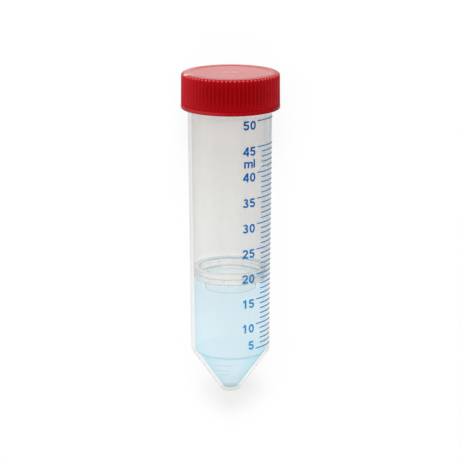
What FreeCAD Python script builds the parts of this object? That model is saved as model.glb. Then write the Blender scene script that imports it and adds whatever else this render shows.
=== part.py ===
"""50 ml conical tube with a ribbed screw cap, a ring-shaped separation insert and a pale fill.

Every piece is drawn about its own axis: the closed tip is at the origin and +Z runs to the cap.
lay_down() then puts the closed tube on its side, as it comes to rest on a bench: the cap's rim
and the shoulder above the cone touch the floor, and the axis slopes up towards the cap.
All lengths are in millimetres.
"""
import FreeCAD, Part
import math
import os

V = FreeCAD.Vector

# ---- tube, one clear moulding ----
TUBE_LENGTH = 113.2          # tip to the rim of the mouth
SHOULDER_Z = 15.5            # where the body turns into the cone
SHOULDER_R = 14.0            # outer radius there
BODY_DRAFT = 0.0097          # radius gained for each millimetre towards the mouth
WALL = 1.25                  # body wall
TIP_R = 3.2275               # where the cone would meet the flat tip
TIP_EDGE_R = 1.6             # rounding between the cone and the flat tip
SHOULDER_EDGE_R = 1.2        # rounding of the shoulder
SEAM_ANGLE = 92.5            # the turned wall's seam, from the front; clear of the side it lies on
INNER_SHOULDER_DROP = 0.1    # the bore turns into the inner cone this much lower
FLOOR_Z = 1.15               # thickness of the tip's floor
TIP_WALL = 1.527             # level distance from the inner floor's edge to the cone's outside
RIM_EDGE = 0.3               # chamfers of the mouth's lips
MARK_HEIGHT = 0.12           # raised lines moulded on the cone
MARK_HALF_WIDTH = 0.22
MARKS = ((12.4, -24.0, 6.0), (9.9, -30.0, 0.0), (8.0, -24.0, -4.0))  # height, start and end angle

# ---- cap, one red moulding ----
CAP_TOP_THICKNESS = 1.8      # over the tube's mouth
CAP_HEIGHT = 12.3
THREAD_ROOM = 0.652          # between the mouth and the bore, for the screw thread round the neck
CAP_WALL = 1.02              # skirt between the ribs, just under the shoulder
CAP_DRAFT = 0.010            # radius gained for each millimetre towards the open end
CAP_EDGE_R = 0.6             # rounding between the skirt and the top
CAP_RIM_HEIGHT = 1.25        # plain band round the open end
CAP_RIM_PROUD = 0.5          # how far the band stands out from the rib roots
CAP_RIM_EDGE = 0.3           # chamfer of the band's foot
CAP_TOP_RECESS = 0.15        # the middle of the top sits this much lower than its edge
CAP_TOP_LAND = 1.92          # flat ring round the recess
CAP_TOP_RAMP = 0.5           # level width of the recess's sloping side
CAP_GATE_R = 1.1             # moulding gate left in the middle of the top
RIB_COUNT = 72
RIB_HEIGHT = 0.44
RIB_HEAD = 0.3               # length of the slope at a rib's head
RIB_OUTLINE = ((-0.29, 0.0), (-0.15, 1.0), (0.15, 1.0), (0.29, 0.0))  # shares of pitch and height
PLUG_LENGTH = 3.4            # ring that seals inside the mouth
PLUG_WALL = 0.9
PLUG_CLEARANCE = 0.06        # radial, between the plug and the mouth
PLUG_LEAD = 0.5              # lead-in chamfer of the plug

# ---- separation insert, one clear moulding pressed into the tube ----
INSERT_TOP_Z = 45.9
RING_HEIGHT = 3.9
INSERT_CLEARANCE = 0.04      # radial, between the ring and the tube's wall
RING_WALL = 0.9
SHELF_THICKNESS = 0.75
OPENING_R = 7.8
LIP_WIDTH = 0.8              # sloping lip round the opening
LIP_RISE = 0.75              # the shelf rises this much from the wall to the lip
LIP_FALL = 0.9               # the lip falls this much to the opening
COLLAR_WALL = 1.3
COLLAR_DEPTH = 3.8           # below the ring
GROOVE_DEPTH = 0.3           # groove round the middle of the ring
GROOVE_HALF_HEIGHT = 0.3
GROOVE_DROP = 2.05           # from the ring's top to the groove's middle
NOTCH_COUNT = 9
NOTCH_WIDTH = 0.6
NOTCH_DEPTH = 0.35
NOTCH_START = -11.0          # angle of the first notch, from the front

# ---- fill ----
FILL_CLEARANCE = 0.12        # from the tube's wall and the insert


def body_radius(z):
    """Outer radius of the tapered body at a height."""
    return SHOULDER_R + BODY_DRAFT * (z - SHOULDER_Z)


def bore_radius(z):
    """Inner radius of the tapered body at a height."""
    return body_radius(z) - WALL


def cone_radius(z):
    """Outer radius of the cone at a height."""
    return TIP_R + (SHOULDER_R - TIP_R) * z / SHOULDER_Z


# ---- where pieces meet ----
MOUTH_R = body_radius(TUBE_LENGTH)
INNER_SHOULDER_Z = SHOULDER_Z - INNER_SHOULDER_DROP
FLOOR_R = cone_radius(FLOOR_Z) - TIP_WALL
CAP_TOP_Z = TUBE_LENGTH + CAP_TOP_THICKNESS
CAP_BORE_R = MOUTH_R + THREAD_ROOM
CAP_ROOT_R = CAP_BORE_R + CAP_WALL
RING_FOOT_Z = INSERT_TOP_Z - RING_HEIGHT
COLLAR_FOOT_Z = RING_FOOT_Z - COLLAR_DEPTH
COLLAR_R = OPENING_R + COLLAR_WALL


def cap_root_radius(z):
    """Radius of the cap's skirt between its ribs at a height."""
    return CAP_ROOT_R + CAP_DRAFT * (CAP_TOP_Z - CAP_EDGE_R - z)


def at(r, z):
    return V(r, 0, z)


def around(r, angle, z):
    """A point at an angle counted from the front, -Y, towards +X."""
    a = math.radians(angle)
    return V(r * math.sin(a), -r * math.cos(a), z)


def straight_spline(a, b):
    """A straight side as a spline of one span."""
    curve = Part.BSplineCurve()
    curve.buildFromPolesMultsKnots([a, b], [2, 2], [0.0, 1.0], False, 1)
    return curve.toShape()


def turned(points, start=None, sweep=360.0, long_sides=()):
    """Solid of revolution of a closed outline given as (radius, height) pairs.

    long_sides names gently tapered sides by the number of their first point. They are turned from
    a straight spline, which keeps a long wall one light, smooth face."""
    corners = [at(r, z) for r, z in points]
    sides = []
    for i, a in enumerate(corners):
        b = corners[(i + 1) % len(corners)]
        sides.append(straight_spline(a, b) if i in long_sides else Part.makeLine(a, b))
    face = Part.Face(Part.Wire(sides))
    if start is not None:
        face.rotate(V(0, 0, 0), V(0, 0, 1), start - 90.0)
    return face.revolve(V(0, 0, 0), V(0, 0, 1), sweep)


def ring_edges(shape, r, z, tolerance=0.02):
    """Circular edges of a turned solid at one radius and height."""
    found = []
    for edge in shape.Edges:
        curve = edge.Curve
        if not isinstance(curve, Part.Circle):
            continue
        if abs(curve.Radius - r) < tolerance and abs(curve.Center.z - z) < tolerance:
            found.append(edge)
    return found


def rounded(shape, radius, places):
    """Fillet the circular edges at the given (radius, height) places."""
    edges = []
    for r, z in places:
        edges += ring_edges(shape, r, z)
    return shape.makeFillet(radius, edges)


def make_tube():
    """Tapered body, cone with a flat rounded tip, and an even wall inside."""
    bore_r = bore_radius(TUBE_LENGTH)
    inner_shoulder_r = bore_radius(INNER_SHOULDER_Z)
    lip_z = TUBE_LENGTH - RIM_EDGE
    outside = turned([
        (0, 0),
        (TIP_R, 0),
        (SHOULDER_R, SHOULDER_Z),
        (MOUTH_R, lip_z),
        (MOUTH_R - RIM_EDGE, TUBE_LENGTH),
        (0, TUBE_LENGTH),
    ], SEAM_ANGLE, long_sides=(2,))
    outside = rounded(outside, TIP_EDGE_R, [(TIP_R, 0)])
    outside = rounded(outside, SHOULDER_EDGE_R, [(SHOULDER_R, SHOULDER_Z)])
    inside = turned([
        (0, FLOOR_Z),
        (FLOOR_R, FLOOR_Z),
        (inner_shoulder_r, INNER_SHOULDER_Z),
        (bore_r, lip_z),
        (bore_r + RIM_EDGE, TUBE_LENGTH),
        (0, TUBE_LENGTH),
    ], long_sides=(2,))
    tube = outside.cut(inside)
    marks = [make_mark(*mark) for mark in MARKS]
    return tube.fuse(marks).removeSplitter()


def make_mark(z, start, end):
    """One raised line moulded round part of the cone."""
    top = z + MARK_HALF_WIDTH
    bottom = z - MARK_HALF_WIDTH
    sink = WALL / 2
    return turned([
        (cone_radius(bottom) - sink, bottom),
        (cone_radius(bottom), bottom),
        (cone_radius(z) + MARK_HEIGHT, z),
        (cone_radius(top), top),
        (cone_radius(top) - sink, top),
    ], start, end - start)


def rib_outline(z):
    """Closed cross-section of the skirt and its ribs at a height."""
    grow = cap_root_radius(z) / CAP_ROOT_R
    points = []
    for i in range(RIB_COUNT):
        for across, up in RIB_OUTLINE:
            angle = 360.0 / RIB_COUNT * (i + across)
            points.append(around((CAP_ROOT_R + RIB_HEIGHT * up) * grow, angle, z))
    return Part.makePolygon(points + [points[0]])


def make_grip(band_z):
    """Ribbed skirt, lofted with its draft, cut to a turned envelope that slopes the ribs' heads."""
    shoulder_z = CAP_TOP_Z - CAP_EDGE_R
    root_r = cap_root_radius(shoulder_z)
    edge_r = root_r - CAP_EDGE_R
    reach = root_r + RIB_HEIGHT + 1.0
    envelope = [
        (0, band_z),
        (reach, band_z),
        (reach, shoulder_z - RIB_HEAD * (reach - root_r) / RIB_HEIGHT),
        (root_r - 0.02, shoulder_z),
    ]
    for turn in (30, 60, 90):
        a = math.radians(turn)
        envelope.append((edge_r + CAP_EDGE_R * math.cos(a), shoulder_z + CAP_EDGE_R * math.sin(a)))
    envelope.append((0, CAP_TOP_Z))
    grip = Part.makeLoft([rib_outline(band_z), rib_outline(CAP_TOP_Z)], True, True)
    return grip.common(turned(envelope))


def make_cap():
    """Ribbed skirt with a plain rim band, a dished top, a bore and a plug ring for the mouth."""
    foot_z = CAP_TOP_Z - CAP_HEIGHT
    band_z = foot_z + CAP_RIM_HEIGHT
    seat_z = TUBE_LENGTH
    band_r = cap_root_radius(foot_z) + CAP_RIM_PROUD
    band = turned([
        (0, foot_z),
        (band_r - CAP_RIM_EDGE, foot_z),
        (band_r, foot_z + CAP_RIM_EDGE),
        (band_r, band_z),
        (0, band_z),
    ])
    recess_r = CAP_ROOT_R - CAP_EDGE_R - CAP_TOP_LAND
    recess = turned([
        (0, CAP_TOP_Z - CAP_TOP_RECESS),
        (recess_r - CAP_TOP_RAMP, CAP_TOP_Z - CAP_TOP_RECESS),
        (recess_r, CAP_TOP_Z),
        (0, CAP_TOP_Z),
    ])
    bore = Part.makeCylinder(CAP_BORE_R, seat_z - foot_z, V(0, 0, foot_z))
    cap = make_grip(band_z).fuse(band).cut([recess, bore])
    gate = Part.makeCylinder(CAP_GATE_R, CAP_TOP_RECESS * 0.8, V(0, 0, CAP_TOP_Z - CAP_TOP_RECESS))
    plug_foot = seat_z - PLUG_LENGTH
    plug_r = bore_radius(plug_foot) - PLUG_CLEARANCE
    plug = turned([
        (plug_r - PLUG_WALL, seat_z),
        (plug_r, seat_z),
        (plug_r, plug_foot + PLUG_LEAD),
        (plug_r - PLUG_LEAD * 0.6, plug_foot),
        (plug_r - PLUG_WALL, plug_foot),
    ])
    return cap.fuse([gate, plug]).removeSplitter()


def make_insert():
    """Ring with two bands, a sloping shelf, a central opening and a collar that dips in the fill."""
    groove_z = INSERT_TOP_Z - GROOVE_DROP
    shelf_z = RING_FOOT_Z + SHELF_THICKNESS
    lip_z = shelf_z + LIP_RISE
    ring_r = bore_radius(RING_FOOT_Z) - INSERT_CLEARANCE
    insert = turned([
        (ring_r, RING_FOOT_Z),
        (ring_r, groove_z - GROOVE_HALF_HEIGHT),
        (ring_r - GROOVE_DEPTH, groove_z),
        (ring_r, groove_z + GROOVE_HALF_HEIGHT),
        (ring_r, INSERT_TOP_Z),
        (ring_r - RING_WALL, INSERT_TOP_Z),
        (ring_r - RING_WALL, shelf_z),
        (OPENING_R + LIP_WIDTH, lip_z),
        (OPENING_R, lip_z - LIP_FALL),
        (OPENING_R, COLLAR_FOOT_Z),
        (COLLAR_R, COLLAR_FOOT_Z),
        (COLLAR_R, RING_FOOT_Z),
    ])
    cutters = []
    for i in range(NOTCH_COUNT):
        notch = Part.makeBox(NOTCH_WIDTH, NOTCH_DEPTH + 1.0, groove_z - RING_FOOT_Z + 0.5)
        notch.translate(V(-NOTCH_WIDTH / 2, -ring_r - 1.0, RING_FOOT_Z - 0.5))
        notch.rotate(V(0, 0, 0), V(0, 0, 1), NOTCH_START + 360.0 / NOTCH_COUNT * i)
        cutters.append(notch)
    return insert.cut(cutters)


def make_fill():
    """The pale fill: it takes the tube's inside up to the underside of the insert's ring."""
    gap = FILL_CLEARANCE
    level = RING_FOOT_Z - gap
    shoulder_r = bore_radius(INNER_SHOULDER_Z) - gap
    fill = turned([
        (0, FLOOR_Z + gap),
        (FLOOR_R - gap, FLOOR_Z + gap),
        (shoulder_r, INNER_SHOULDER_Z + gap / 2),
        (shoulder_r, level),
        (0, level),
    ])
    slot = turned([
        (OPENING_R - gap, COLLAR_FOOT_Z - gap),
        (COLLAR_R + gap, COLLAR_FOOT_Z - gap),
        (COLLAR_R + gap, level + 1.0),
        (OPENING_R - gap, level + 1.0),
    ])
    return fill.cut(slot)


def lay_down(shape):
    """Turn the axis to +Y, front upwards, and let the shoulder and the cap's rim touch the floor."""
    foot_z = CAP_TOP_Z - CAP_HEIGHT
    rim_r = cap_root_radius(foot_z) + CAP_RIM_PROUD
    rim_z = foot_z + CAP_RIM_EDGE
    slope = math.atan2(rim_r - SHOULDER_R, rim_z - SHOULDER_Z)
    lift = SHOULDER_R * math.cos(slope) - SHOULDER_Z * math.sin(slope)
    laid = shape.copy()
    laid.rotate(V(0, 0, 0), V(1, 0, 0), -90.0)
    laid.rotate(V(0, 0, 0), V(1, 0, 0), math.degrees(slope))
    laid.translate(V(0, 0, lift))
    return laid


def centre_along_axis(pieces):
    """Slide all the pieces together along Y, so that the whole is centred on the origin."""
    boxes = [shape.optimalBoundingBox(False, False) for shape in pieces.values()]
    low = min(box.YMin for box in boxes)
    high = max(box.YMax for box in boxes)
    for shape in pieces.values():
        shape.translate(V(0, -(low + high) / 2, 0))


def main():
    os.makedirs("parts", exist_ok=True)
    pieces = {
        "tube": make_tube(),
        "screw_cap": make_cap(),
        "separation_insert": make_insert(),
        "fill": make_fill(),
    }
    pieces = {name: lay_down(shape) for name, shape in pieces.items()}
    centre_along_axis(pieces)
    for name, shape in pieces.items():
        shape.exportStep("parts/" + name + ".step")
        print(name, "solids", len(shape.Solids), "valid", shape.isValid(), "volume", round(shape.Volume, 1))


main()
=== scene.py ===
"""Looks of a 50 ml conical tube with a ribbed screw cap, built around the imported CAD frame.

Every piece is drawn about the tube's own axis in millimetres, tip at the origin and +Z to the cap,
and then laid down with the same slope, lift and slide as the CAD pieces. Bearings are in degrees
round that axis, 0 at the front and positive to the right.
"""
import math

import bpy
import numpy as np
from mathutils import Matrix, Vector


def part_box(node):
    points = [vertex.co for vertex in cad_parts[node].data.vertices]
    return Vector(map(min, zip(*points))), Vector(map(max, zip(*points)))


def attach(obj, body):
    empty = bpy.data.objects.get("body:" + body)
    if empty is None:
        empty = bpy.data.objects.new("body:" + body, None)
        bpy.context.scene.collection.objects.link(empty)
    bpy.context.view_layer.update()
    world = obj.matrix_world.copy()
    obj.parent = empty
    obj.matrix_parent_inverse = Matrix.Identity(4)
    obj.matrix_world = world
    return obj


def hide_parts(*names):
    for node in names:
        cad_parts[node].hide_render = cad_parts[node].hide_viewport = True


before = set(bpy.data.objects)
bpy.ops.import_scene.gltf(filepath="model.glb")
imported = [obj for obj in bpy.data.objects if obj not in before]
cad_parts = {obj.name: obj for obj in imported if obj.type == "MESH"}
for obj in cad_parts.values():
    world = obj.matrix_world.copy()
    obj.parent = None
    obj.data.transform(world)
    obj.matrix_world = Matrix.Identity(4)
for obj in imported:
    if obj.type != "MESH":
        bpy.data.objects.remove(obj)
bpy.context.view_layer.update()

# ------------------------------------------------------------------ sizes, own frame, mm
TUBE_LENGTH = 113.2
SHOULDER_Z = 15.5
SHOULDER_R = 14.0
SHOULDER_BEND_R = 1.2
BODY_DRAFT = 0.0097
WALL = 1.25
TIP_R = 3.2275
TIP_EDGE_R = 1.6
TIP_EDGE_REACH = 0.9         # how far in from the cone's line the tip's rounding reaches
INNER_SHOULDER_Z = 15.4
FLOOR_Z = 1.15
FLOOR_R = 2.5
MOUTH_EDGE_R = 0.35
NECK_FOOT_Z = 103.6
PAINTED_LIGHT_LINE_Z = 101.95         # height of a painted light line just under the cap
TUBE_THREAD = (NECK_FOOT_Z + 1.3, TUBE_LENGTH - 1.4)      # first and last height of the thread
THREAD_PITCH = 3.4
THREAD_HEIGHT = 0.52
THREAD_FOOT = 0.75           # half the thread's width at its foot, and on its back
THREAD_BACK = 0.3
MARKS = ((12.4, -24.0, 6.0), (9.9, -30.0, 0.0), (8.0, -24.0, -4.0))   # height, first and last bearing
MARK_HEIGHT = 0.06

CAP_TOP_Z = 115.0
CAP_HEIGHT = 12.3
CAP_ROOT_R = 16.62
CAP_DRAFT = 0.010
CAP_EDGE_R = 0.6
CAP_EDGE_H = 0.55
CAP_RIM_HEIGHT = 1.25
CAP_RIM_PROUD = 0.5
CAP_BORE_R = 15.6
CAP_THREAD_HEIGHT = 0.48
CAP_TOP_RECESS = 0.15
CAP_TOP_RECESS_R = 13.6
CAP_GATE_R = 1.1
PLUG_DEPTH = 3.4
PLUG_CLEARANCE = 0.06
PLUG_WALL = 0.9
RIB_COUNT = 72
RIB_HEIGHT = 0.43
RIB_HEAD = 0.66              # height of a rib's rounded head

INSERT_TOP_Z = 45.9
INSERT_CLEARANCE = 0.06
RING_HEIGHT = 3.9
RING_WALL = 2.0              # drawn as thick as the clear ring looks; the CAD ring has 0.9
SHELF_THICKNESS = 0.75
OPENING_R = 7.8
LIP_RISE = 0.75
LIP_WIDTH = 0.8
LIP_FALL = 0.9
COLLAR_R = 9.1
COLLAR_DEPTH = 3.8
GROOVE_DROP = 2.05
GROOVE_HALF = 0.35
GROOVE_DEPTH = 0.3
NOTCH_COUNT = 9
NOTCH_START = -11.0
NOTCH_HALF = 1.35            # half a notch's width in degrees
NOTCH_DEPTH = 0.34
FILL_GAP = 0.10              # between the fill and the wall

AXIS_SLOPE = math.radians(2.118448)
AXIS_LIFT = 13.417467


def body_r(z):
    """Radius of the tube's outside above the cone."""
    return SHOULDER_R + BODY_DRAFT * (z - SHOULDER_Z)


def bore_r(z):
    """Radius of the tube's inside above the cone."""
    return body_r(z) - WALL


def cone_r(z):
    """Radius of the cone's outside."""
    return TIP_R + (SHOULDER_R - TIP_R) * z / SHOULDER_Z


def cap_r(z):
    """Radius of the cap's skirt at the ribs' roots."""
    return CAP_ROOT_R + CAP_DRAFT * (CAP_TOP_Z - CAP_EDGE_R - z)


def wall_middle(z):
    """A radius within the tube's wall, which tells its outside from its inside."""
    return np.where(z > SHOULDER_Z, body_r(z) - WALL / 2, cone_r(z) - WALL * 0.6)


RING_FOOT_Z = INSERT_TOP_Z - RING_HEIGHT      # the fill's surface is just under it
RING_R = bore_r(RING_FOOT_Z) - INSERT_CLEARANCE
RING_INNER_R = RING_R - RING_WALL
GROOVE_Z = INSERT_TOP_Z - GROOVE_DROP
SHELF_Z = RING_FOOT_Z + SHELF_THICKNESS
COLLAR_Z = RING_FOOT_Z - COLLAR_DEPTH
LIP = (OPENING_R + LIP_WIDTH, SHELF_Z + LIP_RISE)
BRIM = (OPENING_R, SHELF_Z + LIP_RISE - LIP_FALL)

CAP_FOOT_Z = CAP_TOP_Z - CAP_HEIGHT
RIM_TOP_Z = CAP_FOOT_Z + CAP_RIM_HEIGHT
RIM_R = cap_r(CAP_FOOT_Z) + CAP_RIM_PROUD
CAP_SHOULDER_Z = CAP_TOP_Z - CAP_EDGE_H
HEAD_Z = CAP_SHOULDER_Z - 0.30                # the ribs' heads begin to round here
CAP_THREAD = (CAP_FOOT_Z + 2.2, TUBE_LENGTH - 1.2)

# ------------------------------------------------------------------ own frame -> row frame
C, S = math.cos(AXIS_SLOPE), math.sin(AXIS_SLOPE)
# the tip's flat end is the lowest point along Y of the tube's node, the radius of its edge below it
TIP_FLAT_R = cone_r(0.0) - TIP_EDGE_REACH
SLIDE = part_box("tube")[0].y * 1000 + S * TIP_FLAT_R
LAY = np.array([[1, 0, 0], [0, S, C], [0, -C, S]])
SHIFT = np.array([0.0, SLIDE, AXIS_LIFT])


def to_row(p):
    """Points in the own frame, mm, to the row frame, m."""
    return (np.asarray(p, float) @ LAY.T + SHIFT) * 0.001


# ------------------------------------------------------------------ places and fades
def columns(verts):
    """x, y, z, radius and bearing of own-frame points."""
    x, y, z = np.array(verts).T
    return x, y, z, np.hypot(x, y), np.degrees(np.arctan2(x, -y))


def fade(values, start, end):
    """0 at start, 1 at end, straight between them and level beyond."""
    return np.clip((values - start) / (end - start), 0, 1)


def bell(values, middle, width):
    """1 at the middle, falling off smoothly over a width."""
    return np.exp(-((values - middle) / width) ** 2)


def off(bearing, middle):
    """Signed angle from a bearing, -180 to 180."""
    return (bearing - middle + 180.0) % 360.0 - 180.0


def wrapped(bearing, start, end):
    """1 within a range of bearings, with soft ends, 0 outside."""
    middle, half = (start + end) / 2, (end - start) / 2
    return np.clip((half - np.abs(off(bearing, middle))) / 1.5 + 0.5, 0, 1)


# ------------------------------------------------------------------ mesh helpers
def make_object(name, verts, faces, material, body, smooth=35.0, attrs=None):
    """A piece from own-frame points. attrs are per-point numbers that its material reads."""
    me = bpy.data.meshes.new(name)
    me.from_pydata([tuple(v) for v in to_row(verts)], [], [tuple(f) for f in faces])
    me.validate()
    me.update()
    for key, values in (attrs or {}).items():
        a = me.attributes.new(key, "FLOAT", "POINT")
        a.data.foreach_set("value", np.asarray(values, np.float32))
    ob = bpy.data.objects.new(name, me)
    bpy.context.scene.collection.objects.link(ob)
    me.materials.append(material)
    me.polygons.foreach_set("use_smooth", [True] * len(me.polygons))
    me.set_sharp_from_angle(angle=math.radians(smooth))
    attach(ob, body)
    return ob


def ring_grid(rows, segments, relief=None):
    """Surface turned from (radius, height) rows. relief(angles, r, z) adds to a row's radius.
    A row of radius 0 closes the surface with one point."""
    verts, faces, index = [], [], []
    angles = np.arange(segments) * 2 * math.pi / segments
    for r, z in rows:
        start = len(verts)
        if r <= 1e-9:
            index.append([start])
            verts.append((0.0, 0.0, z))
            continue
        radii = np.full(segments, float(r))
        if relief is not None:
            radii = radii + relief(np.degrees(angles), r, z)
        index.append(list(range(start, start + segments)))
        for a, q in zip(angles, radii):
            verts.append((q * math.sin(a), -q * math.cos(a), z))
    for a, b in zip(index[:-1], index[1:]):
        for k in range(segments):
            j = (k + 1) % segments
            if len(a) == 1:
                faces.append((a[0], b[j], b[k]))
            elif len(b) == 1:
                faces.append((a[k], a[j], b[0]))
            else:
                faces.append((a[k], a[j], b[j], b[k]))
    return verts, faces


def corner(p, q, s, radius, n=4):
    """A rounded corner at q on the way from p to s."""
    p, q, s = Vector(p), Vector(q), Vector(s)
    u, v = (p - q).normalized(), (s - q).normalized()
    half = u.angle(v) / 2
    reach = radius / math.tan(half)
    a, b = q + u * reach, q + v * reach
    centre = q + (u + v).normalized() * radius / math.sin(half)
    start, end = (math.degrees(math.atan2(*(e - centre).yx)) for e in (a, b))
    return bow(centre.x, centre.y, radius, radius, start, start + off(end, start), n)


def bow(cx, cy, rx, ry, start, end, n=18):
    """Part of an ellipse, angles in degrees, anticlockwise from +x."""
    out = []
    for k in range(n + 1):
        a = math.radians(start + (end - start) * k / n)
        out.append((cx + rx * math.cos(a), cy + ry * math.sin(a)))
    return out


def run(p, q, n):
    """Points between two outline points, both left out."""
    return [(p[0] + (q[0] - p[0]) * k / n, p[1] + (q[1] - p[1]) * k / n) for k in range(1, n)]


def on_body(z):
    """Outline point on the tube's outside."""
    return (body_r(z), z)


def on_bore(z, gap=0.0):
    """Outline point on the tube's inside, or a gap in from it."""
    return (bore_r(z) - gap, z)


def on_skirt(z):
    """Outline point on the cap's skirt, at the ribs' roots."""
    return (cap_r(z), z)


def thread(angles, z, phase, first, last):
    """Height, 0 to 1, of a thread between two heights, tapered out at both ends."""
    turns = angles / 360.0 + phase
    nearest = np.round((z - first) / THREAD_PITCH - turns)
    middle = first + (nearest + turns) * THREAD_PITCH
    back = fade(np.abs(z - middle), THREAD_FOOT, THREAD_BACK)
    return back * fade(middle, first, first + 0.8) * fade(middle, last, last - 0.8)


# ------------------------------------------------------------------ node helpers
def new_net(name):
    """A new material and its empty node tree."""
    material = bpy.data.materials.new(name)
    material.use_nodes = True
    return material, Net(material)


class Net:
    """Short ways to add and join shader nodes in a material or world."""

    def __init__(self, owner):
        self.t = owner.node_tree
        self.t.nodes.clear()

    def add(self, kind, inputs=None, **props):
        n = self.t.nodes.new(kind)
        for k, v in props.items():
            setattr(n, k, v)
        for k, v in (inputs or {}).items():
            self.put(n.inputs[k], v)
        return n

    def put(self, socket, value):
        if isinstance(value, bpy.types.NodeSocket):
            self.t.links.new(value, socket)
        else:
            socket.default_value = value

    def math(self, op, a, b=None, c=None, clamp=False):
        n = self.add("ShaderNodeMath", operation=op, use_clamp=clamp)
        for i, v in enumerate((a, b, c)):
            if v is not None:
                self.put(n.inputs[i], v)
        return n.outputs[0]

    def times(self, value, *factors):
        for factor in factors:
            value = self.math("MULTIPLY", value, factor)
        return value

    def plus(self, a, b):
        """A sum that stays between 0 and 1."""
        return self.math("ADD", a, b, clamp=True)

    def attr(self, name):
        return self.add("ShaderNodeAttribute", attribute_name=name).outputs["Fac"]

    def mix(self, fac, a, b, kind="RGBA"):
        """a where fac is 0, b where it is 1. kind is RGBA for colours, FLOAT for numbers."""
        n = self.add("ShaderNodeMix", data_type=kind)
        first, result = {"RGBA": (6, 2), "FLOAT": (2, 0)}[kind]
        for i, v in ((0, fac), (first, a), (first + 1, b)):
            self.put(n.inputs[i], v)
        return n.outputs[result]

    def place(self, scale=None):
        """The point's own place, with its axes scaled."""
        at = self.add("ShaderNodeTexCoord").outputs["Object"]
        if scale is None:
            return at
        return self.add("ShaderNodeMapping", {"Scale": scale, "Vector": at}).outputs[0]

    def noise(self, scale, detail=2.0, rough=0.5, vector=None):
        inputs = {"Scale": scale, "Detail": detail, "Roughness": rough, "Vector": vector or self.place()}
        return self.add("ShaderNodeTexNoise", inputs).outputs["Fac"]

    def span(self, value, lo, hi, a=0.0, b=1.0, smooth=False):
        """a at lo, b at hi, straight between them or smooth, and level beyond."""
        n = self.add("ShaderNodeMapRange", clamp=True)
        if smooth:
            n.interpolation_type = "SMOOTHSTEP"
        for i, v in enumerate((value, lo, hi, a, b)):
            self.put(n.inputs[i], v)
        return n.outputs[0]

    def clear(self, colour):
        return self.add("ShaderNodeBsdfTransparent", {"Color": colour}).outputs[0]

    def matt(self, colour):
        return self.add("ShaderNodeBsdfDiffuse", {"Color": colour}).outputs[0]

    def gloss(self, colour, roughness, **more):
        inputs = {"Color": colour, "Roughness": roughness, **more}
        return self.add("ShaderNodeBsdfGlossy", inputs).outputs[0]

    def bump(self, height, strength, distance):
        inputs = {"Strength": strength, "Distance": distance, "Height": height}
        return self.add("ShaderNodeBump", inputs).outputs[0]

    def blend(self, fac, a, b):
        """Surface a where fac is 0, surface b where it is 1."""
        return self.add("ShaderNodeMixShader", {0: fac, 1: a, 2: b}).outputs[0]

    def for_lamps(self, surface, tint):
        """Lamps reach through the clear wall with this tint instead of stopping at its shine."""
        path = self.add("ShaderNodeLightPath").outputs
        lit = self.math("MAXIMUM", path["Is Shadow Ray"], path["Is Diffuse Ray"])
        return self.blend(lit, surface, self.clear(tint))

    def grazing(self):
        """How far the surface turns away, 0 face on to 1 edge on, the same on both sides."""
        return self.add("ShaderNodeLayerWeight", {"Blend": 0.5}).outputs["Facing"]

    def out(self, surface):
        self.add("ShaderNodeOutputMaterial", {"Surface": surface})


def srgb(r, g, b):
    """A colour from screen values, 0 to 255."""
    shares = (r / 255, g / 255, b / 255)
    return (*(c / 12.92 if c <= 0.04045 else ((c + 0.055) / 1.055) ** 2.4 for c in shares), 1.0)


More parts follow.
